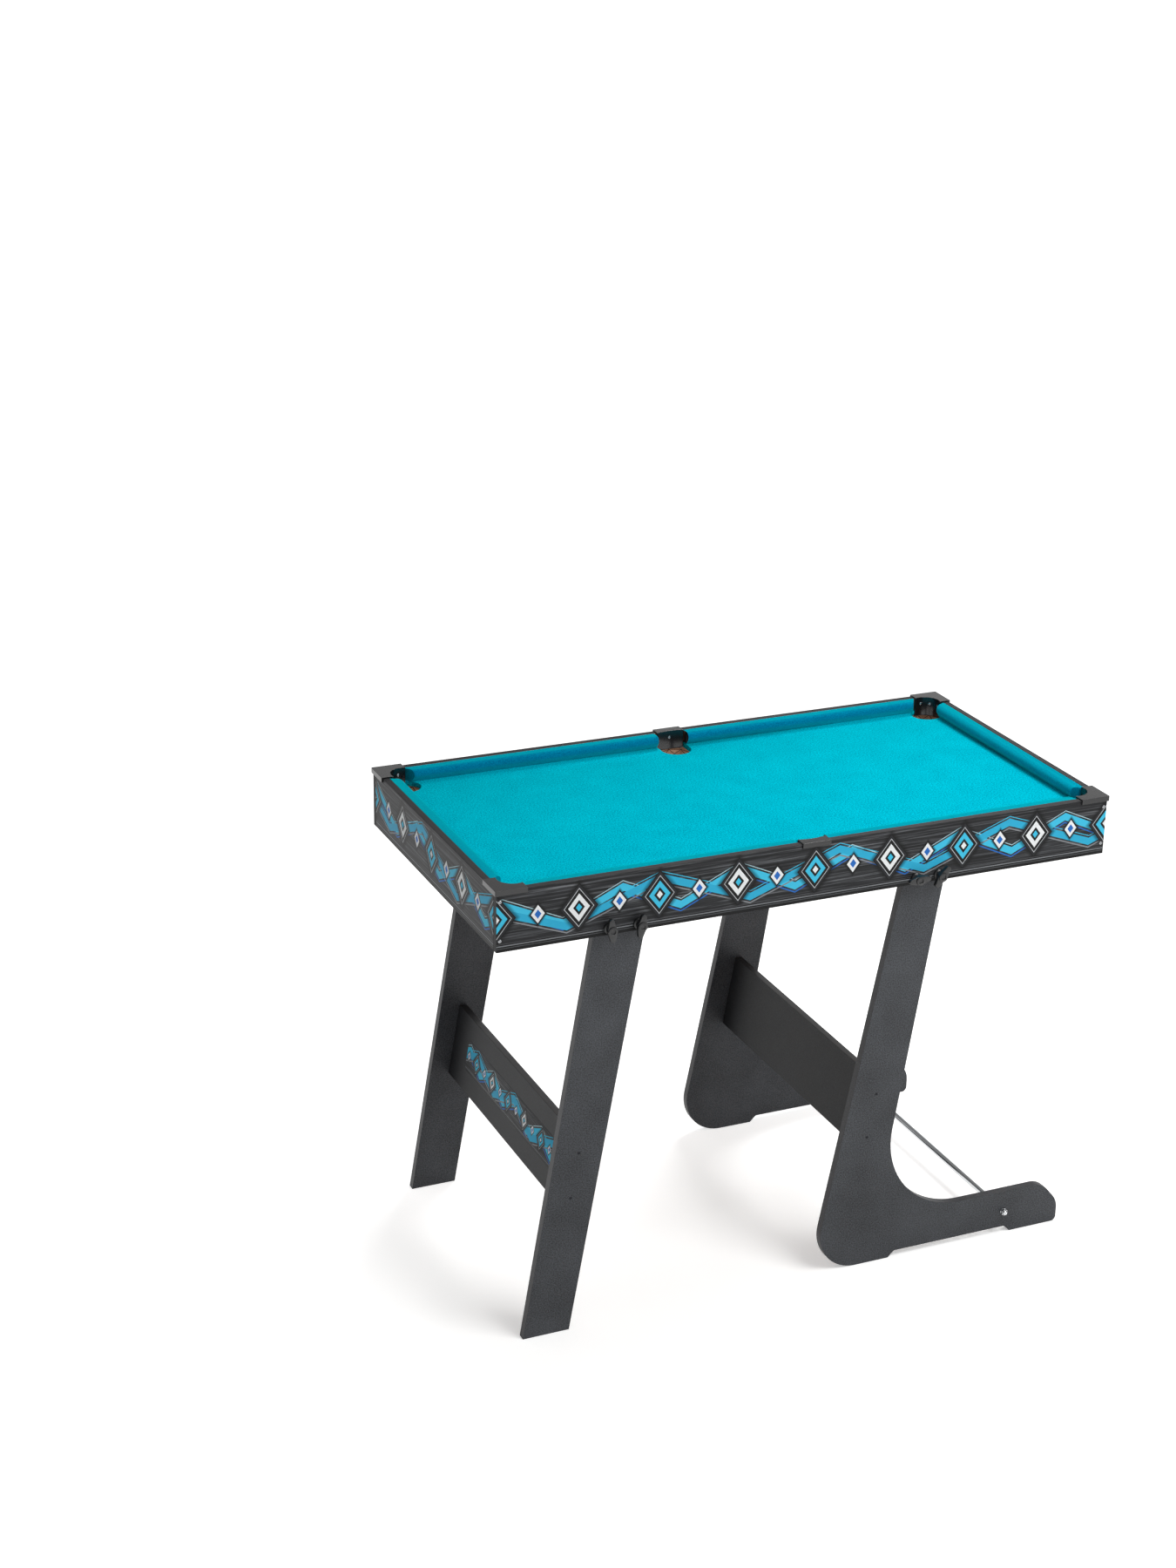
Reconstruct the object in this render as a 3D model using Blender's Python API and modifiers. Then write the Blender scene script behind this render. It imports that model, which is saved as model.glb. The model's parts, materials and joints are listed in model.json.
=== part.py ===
"""Folding pool table: a playing top that tips upright on an L-foot stand, with a second leg frame,
wing knobs, padded rails and six netted pockets.
Metres, +Z up, floor at z = 0, centred on X and Y; the long rails run along X."""
import math

import bmesh
import bpy
from mathutils import Matrix, Vector

# overall
TABLE_LENGTH = 1.150        # over the corner caps
TABLE_WIDTH = 0.598
TABLE_HEIGHT = 0.846        # floor to the top of the corner caps
RAIL_DEPTH = 0.108          # cap top to the apron's lower edge
BED_DROP = 0.026            # cap top to the cloth

# boards
APRON_T = 0.012
LEG_T = 0.015
BED_T = 0.009
CLOTH_T = 0.0007
BATTEN = 0.012
CORNER_BLOCK = 0.016
STRETCHER_T = 0.015
STRETCHER_W = 0.138
STRETCHER_Z = 0.298         # middle of the board above the floor

# pocket caps and nets
CAP_LIP = 0.003             # caps stand this far outside the aprons
CAP_PLATE = 0.002
CAP_SKIRT = 0.009
CAP_CORNER_R = 0.002
CORNER_CAP = 0.056          # length along each rail
SIDE_CAP = 0.053
SIDE_LINER_R = 0.090        # the side liner is nearly flat
POCKET_IN = 0.047           # pocket centre from the caps' outer edge
LINER_R = 0.0262
LINER_T = 0.002
LINER_H = 0.036
NET_R = 0.030
NET_DEPTH = 0.052
NET_T = 0.0012

# cushions
CUSHION_W = 0.022
CUSHION_FOOT = 0.015
CUSHION_NOSE = 0.007
CUSHION_CHIN = 0.004        # height of the slope under the nose
CORNER_MITRE = math.radians(30)
SIDE_MITRE = math.radians(3)

# bolts and knobs
BOLT_R = 0.003
BOLT_CHAMFER = 0.001
BOLT_HEAD_R = 0.008
BOLT_HEAD_H = 0.004
BOLT_UP = 0.0125            # bolt centres above the apron's lower edge
END_PIVOT_IN = 0.252        # from the caps' outer edge at the -X end
END_BOLTS = 0.053           # pivot bolt to lock bolt
STAND_PIVOT_IN = 0.336      # from the caps' outer edge at the +X end
STAND_BOLTS = 0.044
LOCK_PAST = 0.003           # lock bolt past the leg's inner face
KNOB_H = 0.019
KNOB_BORE = 0.012
COLLAR_R = 0.0095
COLLAR_H = 0.004
NECK_R = 0.007
HUB_R = 0.0082
HUB_Z = 0.0095              # where the hub and its wings begin
HUB_RECESS_R = 0.0042
HUB_RECESS = 0.003
WING_SPAN = 0.042
WING_TIP_W = 0.0096
WING_ROOT_W = 0.0156
WING_T = 0.0075
TURNS = {"end_lock": 95, "end_pivot": 81, "stand_lock": 4, "stand_pivot": 54}   # wings, in degrees

# leg frames, X measured from the pivot bolt
END_TOP_W = 0.093
END_FOOT_W = 0.0853
END_FOOT_X = -0.1508        # centre of the foot
END_RIGHT = 0.0204          # pivot bolt to the leg's +X edge
STAND_LEFT = 0.059
STAND_RIGHT = 0.0222
STAND_HEEL_X = -0.2017      # back edge carried down to the floor
STAND_FRONT_SLOPE = 0.151
HEEL_R = 0.075
HEEL_END_X = -0.045
ARCH_H = 0.012
ARCH_RAMP = 0.012           # the sole's run up from the heel, and down to the toe
TOE_PAD_X = 0.2104
TOE_TIP_X = 0.310
TOE_H = 0.085
TOE_SHOULDER = 0.042        # height where the toe's end starts to slope back
TOE_BACK = 0.036            # the toe's flat top ends this far from its tip
TOE_R = 0.042
SOLE_R = 0.010
INSTEP_R = 0.155
LEG_HEAD = 0.030            # leg top above the bolts
LEG_HEAD_R = 0.020

# rod across the toes
ROD_R = 0.006
ROD_X = 0.194
ROD_Z = 0.044
STUD_R = 0.003
STUD_OUT = 0.006
NUT_R = 0.0062
NUT_H = 0.011

# fits
GAP = 0.0003                # between pieces that touch
BOLT_FIT = 0.0003
NOTCH_FIT = 0.0016
WELD = 0.00001
FACET = 0.00008             # how far a facet may cut inside a rounded corner
FLAT_ANGLE = math.radians(0.1)

HALF_L, HALF_W = TABLE_LENGTH / 2, TABLE_WIDTH / 2
AX, AY = HALF_L - CAP_LIP, HALF_W - CAP_LIP
IX, IY = AX - APRON_T, AY - APRON_T
RAIL_Z = TABLE_HEIGHT - CAP_PLATE - GAP
APRON_Z = TABLE_HEIGHT - RAIL_DEPTH
CLOTH_Z = TABLE_HEIGHT - BED_DROP
BED_Z = CLOTH_Z - CLOTH_T - GAP
BED_Z0 = BED_Z - BED_T
BOLT_Z = APRON_Z + BOLT_UP
LEG_Y = IY - GAP
LEG_Y0 = LEG_Y - LEG_T
HOLE_R = LINER_R + LINER_T + 2 * GAP
END_PIVOT = Vector((-HALF_L + END_PIVOT_IN, 0, BOLT_Z))
STAND_PIVOT = Vector((HALF_L - STAND_PIVOT_IN, 0, BOLT_Z))
FLOOR = Vector((0, 0, 0))
SIDES = (("front", -1), ("back", 1))
ENDS = (("left", -1), ("right", 1))
BOLTS = ((END_PIVOT.x - END_BOLTS, "end_lock"), (END_PIVOT.x, "end_pivot"),
         (STAND_PIVOT.x - STAND_BOLTS, "stand_lock"), (STAND_PIVOT.x, "stand_pivot"))
POCKETS = [(f"{side}_{end}", sx * (HALF_L - POCKET_IN), sy * (HALF_W - POCKET_IN))
           for end, sx in ENDS for side, sy in SIDES]
POCKETS += [(side, 0, sy * (HALF_W - POCKET_IN)) for side, sy in SIDES]

# finishes: colour, roughness, metallic
BOARD = ((0.045, 0.045, 0.048), 0.6, 0)
PRINTED = ((0.06, 0.07, 0.08), 0.45, 0)
RAW = ((0.35, 0.2, 0.1), 0.8, 0)
FELT = ((0.0, 0.45, 0.58), 0.95, 0)
PLASTIC = ((0.02, 0.02, 0.022), 0.45, 0)
CHROME = ((0.8, 0.8, 0.82), 0.15, 1)
CORD = ((0.06, 0.035, 0.02), 0.9, 0)

for old in list(bpy.data.objects):
    bpy.data.objects.remove(old, do_unlink=True)
scene = bpy.context.scene
PARTS = bpy.data.collections.new("folding_pool_table")
CUTTERS = bpy.data.collections.new("cutters")
for group in (PARTS, CUTTERS):
    scene.collection.children.link(group)


def pivot_empty(name, at):
    """Pieces that turn together hang on an empty that sits on their joint's axis."""
    ob = bpy.data.objects.new(name, None)
    ob.location = at
    PARTS.objects.link(ob)
    return ob


TOP = pivot_empty("top_pivot", STAND_PIVOT)
END_LEGS = pivot_empty("end_legs_pivot", END_PIVOT)
STAND = pivot_empty("stand_on_floor", FLOOR)


def material(name, colour, rough, metal):
    mat = bpy.data.materials.new(name)
    mat.use_nodes = True
    shader = mat.node_tree.nodes["Principled BSDF"]
    shader.inputs["Base Color"].default_value = (*colour, 1)
    shader.inputs["Roughness"].default_value = rough
    shader.inputs["Metallic"].default_value = metal
    return mat


def piece(name, mesh, look, carrier, at=FLOOR, turn=Matrix()):
    """A part with its own material, set in world space and hung on the empty that carries it."""
    ob = bpy.data.objects.new(name, mesh)
    PARTS.objects.link(ob)
    mesh.materials.clear()
    mesh.materials.append(material(name, *look))
    ob.parent = carrier
    ob.matrix_parent_inverse = Matrix.Translation(-carrier.location)
    ob.matrix_basis = Matrix.Translation(at) @ turn.to_4x4()
    return ob


def shape(ob, mesh, how='DIFFERENCE'):
    """Cuts a mesh out of a part, or joins it on, with a live Boolean."""
    tool = bpy.data.objects.new(f"{ob.name}_tool{len(ob.modifiers)}", mesh)
    CUTTERS.objects.link(tool)
    tool.hide_render = True
    tool.display_type = 'WIRE'
    mod = ob.modifiers.new(how.title(), 'BOOLEAN')
    mod.operation, mod.solver, mod.object = how, 'EXACT', tool
    return ob


def closed(bm):
    """A welded mesh, each flat side one face, its faces turned out."""
    bmesh.ops.remove_doubles(bm, verts=bm.verts, dist=WELD)
    bmesh.ops.dissolve_limit(bm, angle_limit=FLAT_ANGLE, verts=bm.verts, edges=bm.edges)
    bmesh.ops.recalc_face_normals(bm, faces=bm.faces)
    mesh = bpy.data.meshes.new("body")
    bm.to_mesh(mesh)
    bm.free()
    return mesh


def box(x, y, z):
    """A board between two limits on each axis, in either order."""
    low, high = Vector(map(min, (x, y, z))), Vector(map(max, (x, y, z)))
    bm = bmesh.new()
    bmesh.ops.create_cube(bm, size=1, matrix=Matrix.LocRotScale((low + high) / 2, None, high - low))
    return closed(bm)


def bars(places, length, r, turn=Matrix(), steps=16):
    """Round bars centred on the given places, for drilling."""
    bm = bmesh.new()
    for at in places:
        bmesh.ops.create_cone(bm, cap_ends=True, segments=steps, radius1=r, radius2=r, depth=length,
                              matrix=Matrix.Translation(at) @ turn.to_4x4())
    return closed(bm)


def flat(outline, low, high, upright=False):
    """An outline given thickness along Z, or along Y where the outline stands in X and Z."""
    curve = bpy.data.curves.new("outline", 'CURVE')
    curve.dimensions, curve.fill_mode, curve.extrude = '2D', 'BOTH', abs(high - low) / 2
    spline = curve.splines.new('POLY')
    spline.points.add(len(outline) - 1)
    for point, (a, b) in zip(spline.points, outline):
        point.co = (a, b, 0, 1)
    spline.use_cyclic_u = True
    guide = bpy.data.objects.new("outline", curve)
    scene.collection.objects.link(guide)
    seen = guide.evaluated_get(bpy.context.evaluated_depsgraph_get())
    mesh = bpy.data.meshes.new_from_object(seen)
    bpy.data.objects.remove(guide, do_unlink=True)
    middle = (low + high) / 2
    mesh.transform(facing(-1) if upright else Matrix())
    mesh.transform(Matrix.Translation((0, middle, 0) if upright else (0, 0, middle)))
    bm = bmesh.new()
    bm.from_mesh(mesh)
    bpy.data.meshes.remove(mesh)
    return closed(bm)


def turned(name, profile, look, carrier, at, turn=Matrix(), steps=16):
    """Radius and height pairs, from the top of the axis down the outside, spun about Z."""
    mesh = bpy.data.meshes.new(name)
    mesh.from_pydata([(r, 0, h) for r, h in profile], [(k, k + 1) for k in range(len(profile) - 1)], [])
    ob = piece(name, mesh, look, carrier, at, turn)
    spin = ob.modifiers.new("Turn", 'SCREW')
    spin.steps = spin.render_steps = steps
    spin.use_merge_vertices, spin.merge_threshold = True, WELD
    return ob


def facing(sy):
    """Turns +Z to face the front (-1) or the back (1) of the table."""
    return Matrix.Rotation(math.radians(-90 * sy), 4, 'X')


def arc(centre, r, start, end, steps):
    return [(centre[0] + r * math.cos(start + (end - start) * k / steps),
             centre[1] + r * math.sin(start + (end - start) * k / steps)) for k in range(steps + 1)]


def rounded(corners):
    """An outline from (x, y, radius) corners."""
    out = []
    for k, (x, y, r) in enumerate(corners):
        p = Vector((x, y))
        a = (Vector(corners[k - 1][:2]) - p).normalized()
        b = (Vector(corners[(k + 1) % len(corners)][:2]) - p).normalized()
        if r == 0:
            out.append((x, y))
            continue
        half = a.angle(b) / 2
        centre = p + (a + b).normalized() * (r / math.sin(half))
        first = p + a * (r / math.tan(half)) - centre
        last = p + b * (r / math.tan(half)) - centre
        swing = first.angle_signed(last)
        steps = max(2, math.ceil(abs(swing) / (2 * math.acos(1 - FACET / r))))
        for i in range(steps + 1):
            out.append(tuple(centre + Matrix.Rotation(-swing * i / steps, 2) @ first))
    return out


def aprons():
    """Four boards round the top; the long ones cover the ends of the short ones."""
    for side, sy in SIDES:
        ob = piece(f"apron_{side}", box((-AX, AX), (sy * IY, sy * AY), (APRON_Z, RAIL_Z)), PRINTED, TOP)
        holes = [(x, sy * (IY + AY) / 2, BOLT_Z) for x, _ in BOLTS]
        shape(ob, bars(holes, 2 * APRON_T, BOLT_R + BOLT_FIT, facing(sy)))
    for end, sx in ENDS:
        board = box((sx * IX, sx * AX), (-IY + GAP, IY - GAP), (APRON_Z, RAIL_Z))
        piece(f"apron_{end}", board, PRINTED, TOP)


def bed():
    """The playing board and its cloth, with holes at the corner pockets and open slots at the side ones,
    on two battens."""
    x, y = IX - GAP, IY - GAP
    layers = (("bed_board", BED_Z0, BED_Z, RAW), ("bed_cloth", BED_Z + GAP, CLOTH_Z, FELT))
    for name, low, high, look in layers:
        ob = piece(name, box((-x, x), (-y, y), (low, high)), look, TOP)
        holes = [(px, py, (low + high) / 2) for _, px, py in POCKETS if px]
        shape(ob, bars(holes, 4 * BED_T, HOLE_R, steps=36))
        for _, sy in SIDES:
            bow = arc((0, sy * (HALF_W - POCKET_IN)), HOLE_R, 0, -sy * math.pi, 18)
            slot = [*bow, (-HOLE_R, sy * HALF_W), (HOLE_R, sy * HALF_W)]
            shape(ob, flat(slot, low - BED_T, high + BED_T))
    for side, sy in SIDES:
        inner = HALF_W - POCKET_IN - NET_R - BATTEN / 2
        piece(f"bed_batten_{side}", box((-x, x), (sy * (inner - BATTEN), sy * inner),
                                        (BED_Z0 - GAP - BATTEN, BED_Z0 - GAP)), RAW, TOP)


def cushion(name, low, high, low_mitre, high_mitre, at, turn):
    """One section carried along the rail, its ends slanted towards the pockets.
    Built with u in from the apron along +X and the rail along Y."""
    top = RAIL_Z - CLOTH_Z - GAP
    nose = arc((CUSHION_W - CUSHION_NOSE, top - CUSHION_NOSE), CUSHION_NOSE, math.pi / 2, 0, 5)
    section = [(GAP, GAP), (GAP, top), *nose, (CUSHION_W - GAP, top - CUSHION_NOSE - CUSHION_CHIN),
               (CUSHION_FOOT, GAP)]
    mesh = flat(section, low, high, upright=True)
    middle = (low + high) / 2
    for v in mesh.vertices:
        slant = math.tan(low_mitre) if v.co.y < middle else -math.tan(high_mitre)
        v.co.y += slant * v.co.x
    piece(name, mesh, FELT, TOP, at, turn)


def cushions():
    corner, side_gap = CORNER_CAP + GAP, HOLE_R + GAP
    for side, sy in SIDES:
        at, turn = Vector((0, sy * IY, CLOTH_Z)), Matrix.Rotation(math.radians(-90 * sy), 4, 'Z')
        first, second = ("left", "right") if sy > 0 else ("right", "left")
        reach = HALF_L - corner
        cushion(f"cushion_{side}_{first}", -reach, -side_gap, CORNER_MITRE, SIDE_MITRE, at, turn)
        cushion(f"cushion_{side}_{second}", side_gap, reach, SIDE_MITRE, CORNER_MITRE, at, turn)
    for end, sx in ENDS:
        at, turn = Vector((sx * IX, 0, CLOTH_Z)), Matrix.Rotation(math.radians(90 + 90 * sx), 4, 'Z')
        reach = HALF_W - corner
        cushion(f"cushion_{end}", -reach, reach, CORNER_MITRE, CORNER_MITRE, at, turn)


def pocket_cap(name, plate, skirt, liner):
    """A moulding of a top plate, an outer skirt and a curved liner that reaches down through the bed."""
    inside = TABLE_HEIGHT - CAP_PLATE / 2
    ob = piece(name, flat(plate, TABLE_HEIGHT - CAP_PLATE, TABLE_HEIGHT), PLASTIC, TOP)
    shape(ob, flat(skirt, TABLE_HEIGHT - CAP_SKIRT, inside), 'UNION')
    shape(ob, flat(liner, TABLE_HEIGHT - LINER_H, inside), 'UNION')


def corner_pocket(side, sy, end, sx):
    """Cap and corner block; a and b run in from the table's outer corner along X and Y."""
    def corner(points):
        return [(sx * (HALF_L - a), sy * (HALF_W - b)) for a, b in points]
    middle, lip = (POCKET_IN, POCKET_IN), CAP_LIP - GAP
    swing = math.acos((CORNER_CAP - POCKET_IN) / LINER_R)
    bite = arc(middle, LINER_R, -swing, swing - 1.5 * math.pi, 14)
    nose = arc((CAP_CORNER_R, CAP_CORNER_R), CAP_CORNER_R, math.pi, 1.5 * math.pi, 2)
    plate = [(0, CORNER_CAP), *nose, (CORNER_CAP, 0), *bite]
    skirt = [*nose, (CORNER_CAP, 0), (CORNER_CAP, lip), (lip, lip), (lip, CORNER_CAP), (0, CORNER_CAP)]
    liner = bite + arc(middle, LINER_R + LINER_T, swing - 1.5 * math.pi, -swing, 14)
    pocket_cap(f"corner_cap_{side}_{end}", corner(plate), corner(skirt), corner(liner))

    edge, back = CAP_LIP + APRON_T + GAP, LINER_R + LINER_T + GAP
    turn = math.asin((POCKET_IN - edge - CORNER_BLOCK) / back)
    hollow = arc(middle, back, -math.pi / 2 - turn, -math.pi + turn, 8)
    block = [(edge, edge), (edge + CORNER_BLOCK, edge), *hollow, (edge, edge + CORNER_BLOCK)]
    piece(f"corner_block_{side}_{end}", flat(corner(block), CLOTH_Z + GAP, RAIL_Z), RAW, TOP)


def side_pocket(side, sy):
    """Cap in the middle of a long rail; b runs in from the table's outer edge."""
    def edge(points):
        return [(a, sy * (HALF_W - b)) for a, b in points]
    half, lip, down = SIDE_CAP / 2, CAP_LIP - GAP, -math.pi / 2
    inner, outer = SIDE_LINER_R, SIDE_LINER_R + LINER_T
    middle = (0, CAP_LIP + APRON_T + GAP + outer)
    swing, back = math.asin(half / inner), math.asin(half / outer)
    bow = arc(middle, inner, down + swing, down - swing, 8)
    plate = [(-half, 0), (half, 0), *bow]
    skirt = [(-half, 0), (half, 0), (half, lip), (-half, lip)]
    liner = bow + arc(middle, outer, down - back, down + back, 8)
    pocket_cap(f"side_cap_{side}", edge(plate), edge(skirt), edge(liner))


def net(name, x, y):
    """A thin open cup that hangs under the bed."""
    wall = [(1, 0), (0.97, 0.35), (0.82, 0.72), (0.5, 0.94), (0, 1)]    # shares of radius and depth
    outside = [(NET_R * r, -NET_DEPTH * d) for r, d in wall]
    inside = [((NET_R - NET_T) * r, -(NET_DEPTH - NET_T) * d) for r, d in wall]
    turned(f"net_{name}", inside[::-1] + outside, CORD, TOP, (x, y, BED_Z0 - GAP), steps=20)


def wing_knob():
    """Hub on a collar with two wings, a ring recess in its face and a blind bore for the bolt."""
    ease = 0.12 * HUB_R
    hub = [(0, KNOB_H), (HUB_R - ease, KNOB_H), (HUB_R, KNOB_H - ease), (HUB_R, HUB_Z),
           (NECK_R, HUB_Z - ease), (NECK_R, COLLAR_H + 2 * ease), (COLLAR_R, COLLAR_H),
           (COLLAR_R, 0), (0, 0)]
    ob = turned("knob", hub, PLASTIC, STAND, FLOOR)
    tip, tip_w, root, root_w = WING_SPAN / 2, WING_TIP_W / 2, HUB_R / 2, WING_ROOT_W / 2
    quarter = [(tip, tip_w, tip_w * 0.9), (root, root_w, HUB_R)]
    half = quarter + [(-x, y, r) for x, y, r in quarter[::-1]]
    wings = rounded(half + [(x, -y, r) for x, y, r in half[::-1]])
    shape(ob, flat(wings, HUB_Z, HUB_Z + WING_T), 'UNION')
    shape(ob, bars([(0, 0, 0)], 2 * KNOB_BORE, BOLT_R + BOLT_FIT))
    shape(ob, bars([(0, 0, KNOB_H)], 2 * HUB_RECESS, HUB_RECESS_R))
    mesh = bpy.data.meshes.new_from_object(ob.evaluated_get(bpy.context.evaluated_depsgraph_get()))
    for mod in ob.modifiers:
        if mod.type == 'BOOLEAN':
            bpy.data.objects.remove(mod.object, do_unlink=True)
    bpy.data.objects.remove(ob, do_unlink=True)
    return mesh


def bolts_and_knobs():
    """A knob outside each apron, on a bolt that runs through apron and leg."""
    mesh = wing_knob()
    through = GAP + APRON_T + GAP + LEG_T
    up, chamfer = KNOB_BORE - GAP, BOLT_R - BOLT_CHAMFER
    end = -through - LOCK_PAST
    head = -through - GAP
    lock = [(0, up), (BOLT_R, up), (BOLT_R, end + BOLT_CHAMFER), (chamfer, end), (0, end)]
    shares = ((1, 0), (0.82, 0.62), (0.44, 0.95), (0, 1))
    dome = [(BOLT_HEAD_R * r, head - BOLT_HEAD_H * h) for r, h in shares]
    pivot = [(0, up), (BOLT_R, up), (BOLT_R, head), *dome]
    for x, job in BOLTS:
        locks = "lock" in job
        carrier = TOP if locks else END_LEGS if "end" in job else STAND
        for side, sy in SIDES:
            at = Vector((x, sy * (AY + GAP), BOLT_Z))
            wings = Matrix.Rotation(math.radians(-sy * TURNS[job]), 4, 'Z')
            piece(f"{job}_knob_{side}", mesh.copy(), PLASTIC, carrier, at, facing(sy) @ wings)
            turned(f"{job}_bolt_{side}", lock if locks else pivot, CHROME, carrier, at, facing(sy))


def leg_head(pivot, left, right, spacing):
    """The panel's top, from its +X edge over the pivot bolt to an open seat for the lock bolt.
    The seat's inner wall is an arc about the pivot, so the panel can swing clear of the lock bolt."""
    x, z = pivot.x, pivot.z
    ease = LEG_HEAD_R / 10
    notch = BOLT_R + NOTCH_FIT
    top = rounded([(x + right, z - LEG_HEAD_R, 0), (x + right + ease, z + LEG_HEAD, LEG_HEAD_R),
                   (x - LEG_HEAD_R, z + LEG_HEAD, 0)])
    inside = spacing - notch
    rise = math.asin((LEG_HEAD - ease) / inside)
    track = arc((x, z), inside, math.pi - rise, math.pi, 8)
    seat = arc((x - spacing, z), notch, 0, -math.pi, 8)
    horn = [(track[0][0] + ease, z + LEG_HEAD)]
    return top[1:-1] + horn + track + seat[1:] + [(x - left + ease, z), (x - left, z - ease)]


def mid_x(outline, z):
    """Half way between the outline's edges at a height."""
    hits = []
    for p, q in zip(outline, outline[1:] + outline[:1]):
        if (p[1] - z) * (q[1] - z) < 0:
            hits.append(p[0] + (q[0] - p[0]) * (z - p[1]) / (q[1] - p[1]))
    return (min(hits) + max(hits)) / 2


def leg_frame(name, outline, holes, carrier):
    """Two panels with (x, z, radius) holes, and the stretcher that follows their lean between them."""
    for side, sy in SIDES:
        panel = flat(outline, sy * LEG_Y0, sy * LEG_Y, upright=True)
        ob = piece(f"{name}_leg_{side}", panel, BOARD, carrier)
        for x, z, r in holes:
            shape(ob, bars([(x, sy * LEG_Y, z)], 3 * LEG_T, r, facing(sy)))
    reach = STRETCHER_W / 3
    low, high = (Vector((mid_x(outline, z), 0, z)) for z in (STRETCHER_Z - reach, STRETCHER_Z + reach))
    lean = math.atan2(high.x - low.x, high.z - low.z)
    x, y, z = STRETCHER_T / 2, LEG_Y0 - GAP, STRETCHER_W / 2
    piece(f"{name}_stretcher", box((-x, x), (-y, y), (-z, z)), BOARD, carrier, (low + high) / 2,
          Matrix.Rotation(lean, 4, 'Y'))


def end_frame():
    """Straight legs at the -X end."""
    x, z = END_PIVOT.x, END_PIVOT.z
    foot, half = x + END_FOOT_X, END_FOOT_W / 2
    outline = [(foot - half, 0), (foot + half, 0), (x + END_RIGHT, z)]
    outline += leg_head(END_PIVOT, END_TOP_W - END_RIGHT, END_RIGHT, END_BOLTS)
    leg_frame("end", outline, [(x, z, BOLT_R + BOLT_FIT)], END_LEGS)


def stand_frame():
    """L-footed legs that carry the top, open or folded, with a rod across their toes."""
    x, z = STAND_PIVOT.x, STAND_PIVOT.z
    waist = x + STAND_RIGHT - STAND_FRONT_SLOPE * (z - TOE_H)
    tip = x + TOE_TIP_X
    outline = rounded([
        (x + STAND_HEEL_X, 0, HEEL_R), (x + HEEL_END_X, 0, 0),
        (x + HEEL_END_X + ARCH_RAMP, ARCH_H, ARCH_RAMP / 2),
        (x + TOE_PAD_X - ARCH_RAMP, ARCH_H, ARCH_RAMP / 2), (x + TOE_PAD_X, 0, 0),
        (tip, 0, SOLE_R), (tip, TOE_SHOULDER, TOE_R), (tip - TOE_BACK, TOE_H, TOE_R),
        (waist, TOE_H, INSTEP_R), (x + STAND_RIGHT, z, 0), (x - STAND_LEFT, z, 0)])[:-1]
    outline += leg_head(STAND_PIVOT, STAND_LEFT, STAND_RIGHT, STAND_BOLTS)
    rod = Vector((x + ROD_X, 0, ROD_Z))
    leg_frame("stand", outline, [(x, z, BOLT_R + BOLT_FIT), (rod.x, rod.z, STUD_R + BOLT_FIT)], STAND)
    foot_rod(rod)


def foot_rod(rod):
    """The rod's studs run through both panels to a cap nut each side."""
    inside, stud = LEG_Y0 - GAP, LEG_Y + GAP + STUD_OUT
    bar = [(0, stud), (STUD_R, stud), (STUD_R, inside), (ROD_R, inside)]
    turned("foot_rod", bar + [(r, -h) for r, h in bar[::-1]], CHROME, STAND, rod, facing(1), steps=20)
    shares = ((0, 1), (0.5, 0.93), (0.8, 0.73), (0.86, 0.5), (1, 0.45), (1, 0), (0, 0))
    dome = [(NUT_R * r, NUT_H * h) for r, h in shares]
    for side, sy in SIDES:
        at = rod + Vector((0, sy * (LEG_Y + GAP), 0))
        ob = turned(f"rod_nut_{side}", dome, CHROME, STAND, at, facing(sy), steps=12)
        shape(ob, bars([at], 2 * (STUD_OUT + 2 * GAP), STUD_R + BOLT_FIT, facing(sy)))


aprons()
bed()
cushions()
for end, sx in ENDS:
    for side, sy in SIDES:
        corner_pocket(side, sy, end, sx)
for side, sy in SIDES:
    side_pocket(side, sy)
for name, x, y in POCKETS:
    net(name, x, y)
bolts_and_knobs()
end_frame()
stand_frame()
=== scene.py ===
"""Looks of the folding pool table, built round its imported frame: printed aprons, felt, moulded pocket caps,
knotted nets, foiled leg boards, wing knobs and a chromed rod. Metres, +Z up, long rails along X."""
import json
import math
import random

import bmesh
import bpy
from mathutils import Matrix, Quaternion, Vector

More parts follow.
